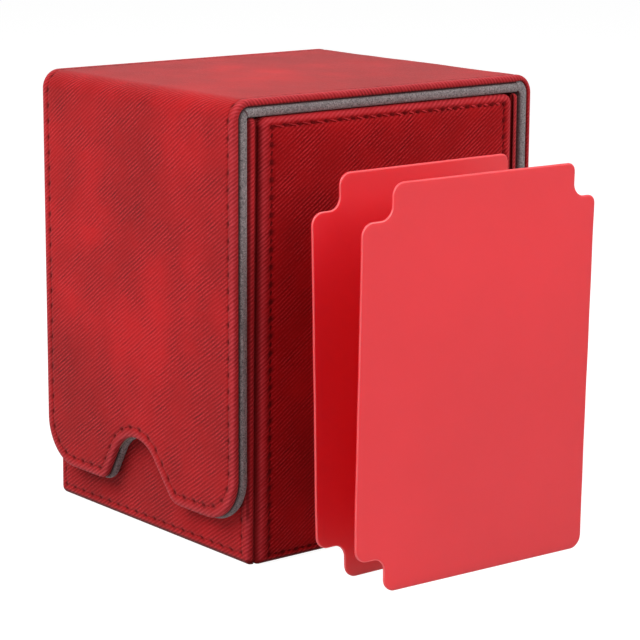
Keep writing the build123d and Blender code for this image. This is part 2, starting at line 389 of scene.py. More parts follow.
def stitch_marks(outline, seam):
    """Where along a seam its needle holes are, and how far along its points lie.

    The holes are evenly spaced, on a closed seam from corner to corner."""
    along = lengths(outline.ring(seam), outline.closed)
    if not outline.closed:
        count = round(along[-1] / outline.pitch)
        return (np.arange(count) + 0.5) * along[-1] / count, along
    turns = along[outline.corner_points()]
    marks = []
    for start, end in zip(turns, [*turns[1:], turns[0] + along[-1]]):
        count = round((end - start) / outline.pitch)
        marks.append(start + (end - start) * np.arange(count) / count)
    return np.concatenate(marks) % along[-1], along


def pits(outline, seam, offset):
    """How deep in a stitch hole each point of a ring is, 0 to 1, at an offset from the seam."""
    marks, along = stitch_marks(outline, seam)
    here = along[:-1] if outline.closed else along
    gap = np.abs(here[:, None] - marks[None, :] - offset * PIT_SLANT).min(axis=1)
    hole = np.exp(-((gap / PIT_LENGTH) ** 2) - (offset / PIT_WIDTH) ** 2)
    return np.maximum(hole, SEAM_LINE * np.exp(-((offset / SEAM_LINE_WIDTH) ** 2)))


def rim_wear_and_sheen(inset, level):
    """How much the points of a ring are worn and lit by painted sheen, 0 to 1; on the dividers, how
    much painted highlight they take.
    """
    near_edge = 1 - eased(*RIM_INSETS, inset)
    return near_edge * (RIM_LEAST + (1 - RIM_LEAST) * eased(*RIM_LEVELS, level))


def unrolled_insets(profile):
    """How far in each ring of a profile lies once the sheet is rolled out flat."""
    insets = np.array([ring[0] for ring in profile])
    heights = np.array([ring[1] for ring in profile])
    steps = np.hypot(np.diff(insets), np.diff(heights))
    return insets[-1] - np.concatenate([np.cumsum(steps[::-1])[::-1], [0]])


def field_rows(low, high, folds):
    """The rows of points over a panel, closer together where it folds."""
    rows = list(np.arange(low, high, FIELD_STEP))
    for start, end in folds:
        rows = [r for r in rows if not start - FOLD_STEP < r < end + FOLD_STEP]
        rows += list(np.linspace(start, end, round((end - start) / FOLD_STEP) + 1))
    return sorted(rows)


def grid_inside(loop, rows):
    """Points in rows inside a loop, clear of its edge."""
    low, high = loop.min(axis=0), loop.max(axis=0)
    columns = np.linspace(low[0], high[0], max(2, round((high[0] - low[0]) / FIELD_STEP)) + 1)
    points = np.array([(x, y) for y in rows if low[1] < y < high[1] for x in columns])
    ahead = np.roll(loop, -1, axis=0)
    x, y = points[:, :1], points[:, 1:]
    crosses = (loop[:, 1] > y) != (ahead[:, 1] > y)
    rise = np.where(ahead[:, 1] == loop[:, 1], 1.0, ahead[:, 1] - loop[:, 1])
    at = loop[:, 0] + (y - loop[:, 1]) * (ahead[:, 0] - loop[:, 0]) / rise
    inside = (crosses & (x < at)).sum(axis=1) % 2 == 1
    clear = np.hypot(x - loop[:, 0], y - loop[:, 1]).min(axis=1) > EDGE_CLEARANCE
    return points[inside & clear]


def fill(loop, inside):
    """Triangles that fill a loop of points, with more points inside it."""
    points = [Vector(p) for p in np.vstack([loop, inside])]
    count = len(loop)
    edges = [(i, (i + 1) % count) for i in range(count)]
    made = geometry.delaunay_2d_cdt(points, edges, [], FILL_INSIDE, SAME_PLACE)
    faces, sources = made[2], made[3]
    return [[sources[i][0] for i in face] for face in faces]


class Sheet:
    """A mesh under construction, whose points have flat places and marks: how dark their painted
    shade is, how bright their rims' wear and painted highlight are and, if a seed is given, how
    light their cloud is."""

    def __init__(self, seed=None):
        self.places, self.flat, self.dark, self.rim = [], [], [], []
        self.seed = seed
        self.faces = []
        self.count = 0

    def add(self, places, flat, dark=0.0, rim=0.0):
        """Adds points and returns their numbers."""
        size = len(places)
        self.places.append(places)
        self.flat.append(flat)
        self.dark.append(np.full(size, dark))
        self.rim.append(np.full(size, rim))
        self.count += size
        return np.arange(self.count - size, self.count)

    def bridge(self, rings, closed=True):
        """Quads between rings of points."""
        for one, other in zip(rings, rings[1:]):
            rows = zip(one, other, np.roll(one, -1), np.roll(other, -1))
            quads = [[a, b, d, c] for a, b, c, d in rows]
            self.faces += quads if closed else quads[:-1]

    def tube(self, rings):
        """A closed skin over several rings of points, with flat ends."""
        self.bridge(rings)
        self.faces += [list(rings[0]), list(rings[-1])]

    def block(self, low, high):
        """A closed block between two corners, painted dark all over as shade."""
        places = np.array(list(product(*zip(low, high))))
        numbers = self.add(places, places[:, 1:], 1.0)
        quads = [(0, 1, 3, 2), (4, 6, 7, 5), (0, 4, 5, 1), (2, 3, 7, 6), (0, 2, 6, 4), (1, 5, 7, 3)]
        self.faces += [[numbers[i] for i in quad] for quad in quads]

    def cap(self, ring, outline, profile_ring, place, folds, relief=None):
        """Closes a panel over its first or last ring."""
        inset, height = profile_ring
        loop = outline.ring(inset)
        cut = np.empty((0, 2))
        if not outline.closed:
            share = np.linspace(0, 1, round(2 * HALF_COVER / FIELD_STEP) + 1)[1:-1, None]
            cut = loop[-1] * (1 - share) + loop[0] * share
        edge = np.vstack([loop, cut])
        inside = grid_inside(edge, field_rows(edge[:, 1].min(), edge[:, 1].max(), folds))
        extra = np.vstack([cut, inside])
        level = np.full(len(extra), float(height))
        if relief:
            level += relief(*extra.T)
        added = self.add(place(*extra.T, level), extra)
        numbers = np.concatenate([ring, added])
        self.faces += [[numbers[i] for i in face] for face in fill(edge, inside)]

    def store_marks(self, mesh):
        """Puts the flat places and the marks on the mesh."""
        flat = np.vstack(self.flat)
        corners = np.zeros(len(mesh.loops), int)
        mesh.loops.foreach_get("vertex_index", corners)
        layer = mesh.uv_layers.new(name="sheet")
        layer.data.foreach_set("uv", flat[corners].astype(np.float32).ravel())
        marks = {"dark": np.concatenate(self.dark), "rim": np.concatenate(self.rim)}
        if self.seed is not None:
            marks["cloud"] = clouds(*flat.T, self.seed)
        for key, values in marks.items():
            attribute = mesh.attributes.new(key, "FLOAT", "POINT")
            attribute.data.foreach_set("value", values.astype(np.float32))

    def build(self, name):
        """The mesh as a Blender object in metres, with its holes closed."""
        mesh = bpy.data.meshes.new(name)
        mesh.from_pydata(np.vstack(self.places) * MM, [], self.faces)
        work = bmesh.new()
        work.from_mesh(mesh)
        open_edges = [e for e in work.edges if e.is_boundary]
        if open_edges:
            bmesh.ops.holes_fill(work, edges=open_edges, sides=0)
        large = [f for f in work.faces if len(f.verts) > 4]
        bmesh.ops.triangulate(work, faces=large)
        bmesh.ops.recalc_face_normals(work, faces=work.faces)
        work.to_mesh(mesh)
        work.free()
        self.store_marks(mesh)
        mesh.shade_smooth()
        mesh.set_sharp_from_angle(angle=SHARP_ANGLE)
        return add_object(name, mesh)


def turned_panel(name, outline, profile, place, seam=None, foot=None, relief=None, folds=(),
                 shade=None, lift=None, blocks=(), seed=None):
    """A sheet turned over its edges, as a closed mesh.

    The profile runs from the hidden inside, round the edge, to the field: how far in from the edge
    and how high over the outer face each ring lies, or over the depth that foot gives. Relief adds
    to the field's height, lift to a ring's, and shade says how dark a ring's points are painted as
    shade."""
    sheet = Sheet(seed)
    for low, high in blocks:
        sheet.block(low, high)
    rings = []
    for (inset, height, *is_foot), flat_inset in zip(profile, unrolled_insets(profile)):
        u, v = outline.ring(inset).T
        level = np.full(len(u), float(height))
        if is_foot:
            level -= foot(v)
        if lift:
            level += lift(v, height)
        dark = 0.0
        if seam and height > -LEATHER:
            hole = pits(outline, seam, inset - seam)
            level -= PIT_DEPTH * hole
            # The holes and the pressed line are dented, and painted dark as their shade
            dark = PIT_SHADE * hole
        if relief and not is_foot:
            level += relief(u, v) * eased(0, profile[-1][0], inset)
        # Painted shade from the panel's shade function
        if shade:
            dark = np.maximum(dark, shade(u, v, inset, -foot(v) if is_foot else level))
        flat = outline.ring(flat_inset)
        rings.append(sheet.add(place(u, v, level), flat, dark, rim_wear_and_sheen(inset, level)))
    sheet.bridge(rings, outline.closed)
    sheet.cap(rings[0], outline, profile[0], place, folds)
    sheet.cap(rings[-1], outline, profile[-1], place, folds, relief)
    return sheet.build(name)


# Thread


def add_bead(sheet, place, centre, forth):
    """A flat bead of thread that fills a needle hole, painted dark as the hole's shade."""
    length, width, height = BEAD_SIZE
    aside = np.array([-forth[1], forth[0]])
    rings = []
    for turn in BEAD_TURNS:
        along = length * cos(turn) * np.cos(TURNS)
        across = width * cos(turn) * np.sin(TURNS)
        flat = centre + along[:, None] * forth + across[:, None] * aside
        level = np.full(len(flat), height * sin(turn) - BEAD_DEPTH)
        rings.append(sheet.add(place(*flat.T, level), flat, 1.0))
    sheet.tube(rings)


def add_stitch(sheet, place, line, inward, raised):
    """A short arch of thread along a line, thinner at its ends and painted dark as shade where it
    isn't raised.
    """
    thick = THREAD_RADIUS * (1 - THREAD_TAPER * SHARES**6)
    level = THREAD_RISE * raised - THREAD_DEPTH + THREAD_ARCH * (1 - SHARES**2)
    level = level - THREAD_DIP * SHARES**4
    rings = []
    for i, share in enumerate(SHARES):
        sideways = STITCH_SLANT * share + thick[i] * np.cos(TURNS)
        flat = line[i] + inward[i] * sideways[:, None]
        height = level[i] + thick[i] * np.sin(TURNS)
        on_thread = np.column_stack([TURNS / (2 * pi), np.full(len(flat), share)])
        rings.append(sheet.add(place(*flat.T, height), on_thread, 1.0 - raised))
    sheet.tube(rings)


def stitches(name, seams):
    """The thread of several seams: a bead in each needle hole, painted dark as its shade, and an
    arch from hole to hole.

    Each seam says from which height its stitches stand out. The others are sunk and painted dark as
    shade."""
    sheet = Sheet()
    for outline, seam, place, raised_from in seams:
        marks, along = stitch_marks(outline, seam)
        lines = [outline.ring(seam), outline.ring(seam + 1)]
        if outline.closed:
            lines = [np.vstack([line, line[:1]]) for line in lines]
        for mark in marks:
            at = np.array([mark, mark + EDGE_STEP]) % along[-1]
            centre, ahead = at_lengths(lines[0], along, at)
            add_bead(sheet, place, centre, (ahead - centre) / np.linalg.norm(ahead - centre))
        if outline.closed:
            marks = np.append(marks, marks[0] + along[-1])
        for start, end in zip(marks, marks[1:]):
            reach = (end - start - STITCH_GAP) / 2
            at = ((start + end) / 2 + SHARES * reach) % along[-1]
            line = at_lengths(lines[0], along, at)
            inward = at_lengths(lines[1], along, at) - line
            raised = float(line[len(line) // 2][1] > raised_from)
            add_stitch(sheet, place, line, inward, raised)
    return sheet.build(name)


# The cover

COVER_EDGE = [
    (LEATHER, -LEATHER), (LEATHER, -RED_LAYER), (0.32, -RED_LAYER), (0.08, -RED_LAYER + 0.22),
    (0.0, -RED_LAYER + 0.55), (0.03, -0.52), (0.14, -0.22), (0.38, -0.03), (0.78, 0.05),
    (1.3, 0.04), (1.65, 0.0), (1.82, -0.02), (1.96, -0.05), (COVER_SEAM, -0.06), (2.24, -0.05),
    (2.38, -0.03), (2.6, -0.01), (2.9, 0.0), (3.4, 0.0),
]
PAD_POINTS = [
    (LINING, GREY_LAYER - LINING), (LINING, 0.05), (0.4, 0.25), (0.1, 0.42), (-0.1, 0.65),
    (-0.17, 0.95), (-0.18, 1.3), (-0.14, 1.7), (0.02, GREY_LAYER - 0.3), (0.28, GREY_LAYER),
    (1.0, GREY_LAYER),
]
PAD_EDGE = [(PAD_INSET + inset, -RED_LAYER - depth) for inset, depth in PAD_POINTS]
PAD_DROP = 0.45
LINING_BEND_MORE = 1.0

# The lift at the rear, and the levels and places where it comes in
REAR_LIFT = 0.5
LIFT_LEATHER = (-0.5, -RED_LAYER + 0.3)
LIFT_FELT = (PAD_FACE + 0.3, -RED_LAYER - 0.6)
LIFT_RUN = (LID_REAR - 1.0, LID_REAR + 3.0)

# The cover's shades: how dark, and the depths, levels or places where they come in
UNDER_SHADE = (0.7, RED_LAYER - 0.4, RED_LAYER - 0.05)
LOWER_SHADE = (0.5, 0.2, 0.7)
LOWER_RUN = (0.5, 2.0)
LEFT_SHADE = (0.7, 0.1, 0.5)
LEFT_BAND = 0.5
FELT_GROOVE_LEVELS = (-RED_LAYER - 0.5, -RED_LAYER - 0.25)
CREASE = FLAP_TOP + 0.65 * FOLD_RUN
CREASE_WIDTH = 0.5
CREASE_INSET = 0.5
REAR_GAP_SHADE = 0.8
REAR_GAP_LEVELS = (PAD_FACE + 0.3, PAD_FACE + 1.0)
REAR_GAP_RUN = (REAR_TOP - 2, REAR_TOP)
HIDDEN_INSET = 0.6


def rear_lift(v, height):
    """At the rear the leather is turned in less far, and the felt reaches further out."""
    near_edge = eased(*LIFT_LEATHER, height) * eased(*LIFT_FELT, height)
    return REAR_LIFT * near_edge * eased(*LIFT_RUN, v)


def leather_shade(u, v, inset, level):
    """Painted shade where the cover's leather turns under: beside the felt, below and at its left.
    """
    under = faded(*UNDER_SHADE, -level) * (v < LID_REAR)
    lower = faded(*LOWER_SHADE, -level) * (1 - eased(*LOWER_RUN, v))
    left = faded(*LEFT_SHADE, -level) * (u < LEFT_BAND - HALF_COVER)
    return np.max([under, lower, left], axis=0)


def lining_shade(u, v, inset, level):
    """Painted shade on the felt: under the leather, in the front fold's crease and in the gap at
    the rear.
    """
    groove = eased(*FELT_GROOVE_LEVELS, level) * (v < LID_REAR)
    crease = np.exp(-(((v - CREASE) / CREASE_WIDTH) ** 2)) * (inset < CREASE_INSET)
    behind = eased(*REAR_GAP_RUN, v) * (inset < HIDDEN_INSET)
    gap = REAR_GAP_SHADE * behind * (1 - eased(*REAR_GAP_LEVELS, level))
    return np.max([groove, crease, gap], axis=0)


def make_cover():
    """The cover's leather, lining and thread, each in two pieces that bend at one fold."""
    made = {}
    outlines = {"front": cover_front_outline(), "back": cover_back_outline()}
    pads = {"front": cover_front_outline(PAD_DROP), "back": outlines["back"]}
    for end, outline in outlines.items():
        made[f"leather_{end}"] = turned_panel(
            f"cover_leather_{end}", outline, COVER_EDGE, place_cover, seam=COVER_SEAM,
            relief=uneven(COVER_UNEVEN), folds=COVER_FOLDS, shade=leather_shade, lift=rear_lift,
            seed=COVER_CLOUDS,
        )
        made[f"lining_{end}"] = turned_panel(
            f"cover_lining_{end}", pads[end], PAD_EDGE, place_cover, folds=COVER_FOLDS,
            shade=lining_shade, lift=rear_lift,
        )
        made[f"stitching_{end}"] = stitches(
            f"cover_stitching_{end}", [(outline, COVER_SEAM, place_cover, inf)]
        )
    return made


def bend_cover(made):
    """Bakes the cover's pieces in place, and hides the nodes they stand for."""
    lining_start = (RED_LAYER + GREY_LAYER) / 2
    lining_end = (FOLD_RADIUS + PAD_HIGH[1] - FRONT_FOLD_Y + LINING_BEND_MORE) / 2
    reach = {"leather": (RED_LAYER / 2, FOLD_RADIUS - RED_LAYER / 2)}
    reach["stitching"] = reach["leather"]
    reach["lining"] = (lining_start, lining_end)
    stands_for = {
        "leather_front": ["front_fold_skin", "flap_skin"],
        "leather_back": ["rear_skin", "rear_fold_skin", "lid_skin"],
        "lining_front": ["front_fold_lining", "flap_lining"],
        "lining_back": ["rear_lining", "rear_fold_lining", "lid_lining"],
    }
    for key, piece in made.items():
        kind, end = key.split("_")
        if end == "front":
            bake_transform(piece)
        else:
            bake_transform(piece)
        if key in stands_for:
            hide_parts(*stands_for[key])


# The box

WALL_EDGE = [
    (LEATHER, -LEATHER), (LEATHER, 0.0, "foot"), (0.0, 0.0, "foot"), (0.0, -1.4), (0.06, -0.95),
    (0.24, -0.52), (0.54, -0.2), (0.92, -0.03), (1.4, 0.02), (1.9, 0.0), (2.12, -0.02),
    (2.29, -0.05), (WALL_SEAM, -0.06), (2.61, -0.05), (2.78, -0.03), (3.0, -0.01), (3.3, 0.0),
    (3.8, 0.0),
]
SIDE_EDGE = [
    (LEATHER, -LEATHER), (LEATHER, 0.0, "foot"), (0.0, 0.0, "foot"), (0.0, -1.65), (0.1, -1.2),
    (0.3, -0.76), (0.6, -0.38), (0.95, -0.13), (1.3, -0.02), (1.56, -0.06), (1.74, -0.15),
    (1.87, -0.21), (PANEL_SEAM, -0.24), (2.13, -0.21), (2.26, -0.15), (2.45, -0.09),
    (2.75, -0.02), (3.4, 0.05),
]
ROUNDING = 0.01

# The box's shades: how dark, and the depths or heights where they come in
FOOT_SHADE = 0.85
FOOT_HEIGHTS = (0.95, 1.35)
WALL_GROOVE = (0.9, 1.35, 1.75)
SIDE_GROOVE = (0.9, 0.15, 1.1)
SIDE_GROOVE_TOP = (2.2, 0.8)
BEHIND_FLAP_SHADE = 0.7
BEHIND_FLAP_HEIGHTS = (FLAP_FOOT - 1, FLAP_FOOT + 2)
BEHIND_FLAP_DEPTHS = (0.45, 0.9)


def painted_foot_shadow(v):
    """Painted shadow: the box's leather is dark in a thin line along its foot, where it meets the
    floor.
    """
    return FOOT_SHADE * (1 - eased(*FOOT_HEIGHTS, v))


def wall_shade(u, v, inset, level):
    """Painted shade on a wall's ends: towards the groove at the side panels, and close behind the
    flap.
    """
    groove = faded(*WALL_GROOVE, -level)
    behind_flap = eased(*BEHIND_FLAP_HEIGHTS, v) * (inset < HIDDEN_INSET)
    close = BEHIND_FLAP_SHADE * behind_flap * (1 - eased(*BEHIND_FLAP_DEPTHS, -level))
    return np.max([groove, close, painted_foot_shadow(v)], axis=0)


def side_shade(height):
    """Painted shade on the side panels where they roll into the grooves, but not at their top."""
    def shade(u, v, inset, level):
        start, end = [height - drop for drop in SIDE_GROOVE_TOP]
        below_top = 1 - eased(start, end, v)
        return np.maximum(faded(*SIDE_GROOVE, -level) * below_top, painted_foot_shadow(v))
    return shade


def side_relief(half, height):
    """The padded sides' low crown, with slight unevenness."""
    def crown(u, v):
        across = 1 - (u / half) ** 2
        up = 1 - (2 * v / height - 1) ** 2
        rise = CROWN_HEIGHT * np.clip(across * up, 0, 1) ** CROWN_POWER
        return rise + layered_waves(u, v, SIDE_UNEVEN)
    return crown


def make_wall(name, side, stray=(0.0, 0.0)):
    """The leather of the front wall (side -1) or the back wall (side 1), and its seam."""
    low, high = span(f"{name}_skin")
    depth = high[1] - low[1]
    radii = [WALL_CORNER, WALL_GROOVE_CORNER, WALL_FOOT_CORNER, WALL_CORNER]
    outline = block_outline(high[0], high[2], radii, WALL_SIDE_SEAM / WALL_SEAM, stray)
    place = place_wall(low[1] if side < 0 else high[1], side)
    piece = turned_panel(
        f"{name}_panel", outline, WALL_EDGE, place, seam=WALL_SEAM,
        foot=lambda v: np.full(len(v), depth), relief=uneven(WALL_UNEVEN), shade=wall_shade,
        seed=WALL_CLOUDS,
    )
    return piece, (outline, WALL_SEAM, place, inf)


def make_side(name, side, stray=(0.0, 0.0)):
    """The padded leather of the left side (side -1) or the right side (side 1), and its seam.

    It is turned in to the board, and past it at its top and foot. Strips painted dark as shade lie
    in the seam gaps."""
    low, high = span(f"{name}_skin")
    board_low, board_high = span(f"{name}_board")
    depth = high[0] - low[0]
    above_board = depth - (board_high[0] - board_low[0])
    height = high[2]
    half = span(f"{name}_foam")[1][1] + LEATHER
    radii = [SIDE_CORNER, SIDE_CORNER, SIDE_FOOT_CORNER, SIDE_CORNER]
    spread = PANEL_SIDE_SEAM / PANEL_SEAM
    outline = block_outline(half, height, radii, spread, stray, PANEL_STITCH_PITCH)
    place = place_side(low[0] if side < 0 else high[0], side)
    inner, outer = board_high[0], board_high[0] + SEAM_STRIP
    if side < 0:
        inner, outer = board_low[0] - SEAM_STRIP, board_low[0]
    top = height - SEAM_STRIP_TOP
    gaps = [(-high[1], -half), (half, high[1])]
    strips = [((inner, near, SEAM_STRIP_FOOT), (outer, far, top)) for near, far in gaps]

    def foot(v):
        at_end = np.minimum(v, height - v) < LEATHER + ROUNDING
        return np.where(at_end, depth, above_board)

    piece = turned_panel(
        f"{name}_panel", outline, SIDE_EDGE, place, seam=PANEL_SEAM, foot=foot,
        relief=side_relief(half, height), shade=side_shade(height), blocks=strips,
        seed=SIDE_CLOUDS,
    )
    return piece, (outline, PANEL_SEAM, place, height - PANEL_SIDE_SEAM)


def make_box():
    """The front and back walls, the two padded sides and their thread."""
    panels = {
        "front": make_wall("front", -1, FRONT_FOOT),
        "back": make_wall("back", 1),
        "left": make_side("left", -1),
        "right": make_side("right", 1, RIGHT_FOOT),
    }
    made = {name: piece for name, (piece, seam) in panels.items()}
    made["stitching"] = stitches("box_stitching", [seam for piece, seam in panels.values()])
    for name, piece in made.items():
        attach(piece, "case")
        if name != "stitching":
            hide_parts(f"{name}_skin")
    return made


# The dividers

DIVIDER_NOTCH = 8.0
INNER_FAR_NOTCH = (8.0, 8.0)
OUTER_FAR_NOTCH = (6.3, 7.75)
DIVIDER_ROUND = 3.0
SHOULDER_ROUND = 2.0
DIVIDER_EDGE = 0.12
DIVIDER_RIM = 1.0

# Their warp, out of the plane and along it, with a foot that stays flat, and their seeds
DIVIDER_BOW = ((0.25, 48.0, 0.0), (0.06, 11.0, 2.0))
DIVIDER_WAVE = ((0.12, 13.0, 5.0),)
DIVIDER_FLAT_FOOT = 20.0
INNER_WARP = 2.3
OUTER_WARP = 6.1


def divider_frame(node):
    """A divider's lower front corner, its directions along, up and out, and its sizes."""
    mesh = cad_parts[node].data
    face = max(mesh.polygons, key=lambda p: p.area)
    out = Vector(face.normal)
    if out.x < 0:
        out.negate()
    along = Vector((0, 0, 1)).cross(out).normalized()
    up = out.cross(along)
    places = np.array([v.co for v in mesh.vertices]) / MM
    axes = np.array([along, up, out])
    low, high = (places @ axes.T).min(axis=0), (places @ axes.T).max(axis=0)
    corner = axes.T @ np.array([low[0], low[1], high[2]])
    return corner, axes, high - low


def make_divider(node, far_notch, seed):
    """A thin plastic sheet with three notched corners, very slightly warped."""
    corner, axes, (width, height, thickness) = divider_frame(node)
    notch = DIVIDER_NOTCH
    far_step = width - far_notch[0]
    far_shoulder = height - far_notch[1]
    near_corners = [
        (notch, 0), (notch, notch), (0, notch), (0, height - notch), (notch, height - notch),
        (notch, height),
    ]
    far_corners = [(far_step, height), (far_step, far_shoulder), (width, far_shoulder), (width, 0)]
    near_radii = [DIVIDER_ROUND] * len(near_corners)
    far_radii = [SHOULDER_ROUND, DIVIDER_ROUND, SHOULDER_ROUND, DIVIDER_ROUND]
    outline = Outline(near_corners + far_corners, near_radii + far_radii)

    def place(u, v, h):
        bow = layered_waves(u, v, DIVIDER_BOW, seed)
        wave = layered_waves(u, v, DIVIDER_WAVE, seed)
        share = eased(0, DIVIDER_FLAT_FOOT, v)
        flat = np.column_stack([u + wave * share, v, h + bow * share])
        return corner + flat @ axes

    profile = [
        (DIVIDER_RIM, -thickness), (DIVIDER_EDGE, -thickness), (0.0, -thickness + DIVIDER_EDGE),
        (0.0, -DIVIDER_EDGE), (DIVIDER_EDGE, 0.0), (DIVIDER_RIM / 2, 0.0), (DIVIDER_RIM, 0.0),
    ]
    made = turned_panel(f"{node}_sheet", outline, profile, place)
    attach(made, node)
    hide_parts(node)
    return made


# Materials


class Shader:
    """The nodes of a material or the world, with short ways to add them."""

    def __init__(self, name, owners=bpy.data.materials):
        self.owner = owners.new(name)
        self.owner.use_nodes = True
        self.tree = self.owner.node_tree
        self.tree.nodes.clear()

    def add(self, kind, inputs=None, **settings):
        """Adds a node, with values or other nodes' outputs at its inputs."""
        made = self.tree.nodes.new("ShaderNode" + kind)
        for key, value in settings.items():
            setattr(made, key, value)
        for key, value in (inputs or {}).items():
            if isinstance(value, bpy.types.NodeSocket):
                self.tree.links.new(value, made.inputs[key])
            else:
                made.inputs[key].default_value = value
        return made

    def math(self, operation, *values, **settings):
        """One sum on numbers or outputs."""
        inputs = dict(enumerate(values))
        return self.add("Math", inputs, operation=operation, **settings).outputs[0]

    def noise(self, vector, scale, detail=2.0, roughness=0.5):
        """Noise from 0 to 1 on some coordinates."""
        inputs = {"Vector": vector, "Scale": scale, "Detail": detail, "Roughness": roughness}
        return self.add("TexNoise", inputs).outputs["Fac"]

    def spread(self, value, low, high, to_low=0.0, to_high=1.0):
        """Stretches part of a range."""
        inputs = {0: value, 1: low, 2: high, 3: to_low, 4: to_high}
        return self.add("MapRange", inputs).outputs[0]

    def mix(self, factor, one, other):
        """A mix of two colours."""
        inputs = {0: factor, 6: one, 7: other}
        return self.add("Mix", inputs, data_type="RGBA").outputs[2]

    def mark(self, name):
        """A value stored on the mesh."""
        return self.add("Attribute", attribute_name=name).outputs["Fac"]

    def sheet_place(self):
        """Flat places on the sheet, in millimetres."""
        return self.add("UVMap", uv_map="sheet").outputs[0]

    def object_place(self):
        """Places in millimetres."""
        inputs = {0: self.add("TexCoord").outputs["Object"], "Scale": 1 / MM}
        return self.add("VectorMath", inputs, operation="SCALE").outputs[0]

    def stretched(self, along, across, squeeze):
        """Coordinates whose noise is drawn out along one direction."""
        inputs = {0: self.math("MULTIPLY", along, squeeze), 1: across}
        return self.add("CombineXYZ", inputs).outputs[0]

    def bump(self, height, distance):
        """A normal from a height of 0 to 1, which is so many millimetres high."""
        inputs = {"Height": height, "Distance": distance * MM, "Strength": 1.0}
        return self.add("Bump", inputs).outputs["Normal"]

    def seen(self):
        """1 for rays that look at the stage, straight or in a shine."""
        rays = self.add("LightPath").outputs
        shine = self.math("MAXIMUM", rays["Is Glossy Ray"], rays["Is Transmission Ray"])
        return self.math("MAXIMUM", rays["Is Camera Ray"], shine)

    def end(self, surface, output="OutputMaterial"):
        """Joins a surface to the output."""
        self.add(output, {0: surface.outputs[0]})
        return self.owner

    def finish(self, **inputs):
        """Ends in a Principled surface."""
        named = {key.replace("_", " "): value for key, value in inputs.items()}
        return self.end(self.add("BsdfPrincipled", named))


def colour(*levels):
    """A colour given as on a screen, in red, green and blue from 0 to 255, as light."""
    shares = [level / 255 for level in levels]
    light = [x / 12.92 if x <= 0.04045 else ((x + 0.055) / 1.055) ** 2.4 for x in shares]
    return (*light, 1.0)


# The leather's colours
LEATHER_LIGHT = colour(190, 16, 22)
LEATHER_DARK = colour(149, 8, 12)
LEATHER_GROOVE = colour(98, 3, 5)
# Rib crests: lighter by the weave, pinker as painted sheen
LEATHER_CREST = colour(207, 50, 58)
# Worn rims: partly wear, partly painted sheen
LEATHER_WORN_AND_SHEEN = colour(200, 70, 78)
# Painted shade: needle holes, the pressed seam line, grooves, undersides, the foot line and the
# blocks in the seam gaps
LEATHER_PAINTED_SHADE = colour(92, 1, 3)

# The ribs, as measured on the photograph, and how finely and how far they wander
RIB_PITCH = 0.815
RIB_ANGLE = radians(34.3)
RIB_WANDER = ((0.11, 0.5), (1.1, 0.25))

# The noise that breaks the ribs: how drawn out along them, and how fine
STREAK_SQUEEZE = 0.2
STREAK_SCALE = 1.3
BREAK_SQUEEZE = 0.8
BREAK_SCALE = 2.4
PATCH_SCALE = 0.14
GRAIN_SCALE = 4.0

# How sharp the grooves and crests are, what is left of a groove in a streak, off the breaks, in a
# light cloud and on a rim, how strong the crests are, and the ribs' height with its shares
GROOVE_POWER = 1.6
CREST_POWER = 3.0
GROOVE_LEFT = (0.25, 0.55, 0.7, 0.9)
CREST_STRENGTH = 0.75
RIB_HEIGHT = 0.07
RIB_SHARE = 0.75
STREAK_SHARE = 0.25
GRAIN_SHARE = 0.2

# The shine of the leather, and of a duller copy for the sides, standing in for the dimmer,
# red-bounced light on them
LEATHER_SHEEN = 0.078
SIDE_SHADED_SHEEN = 0.03


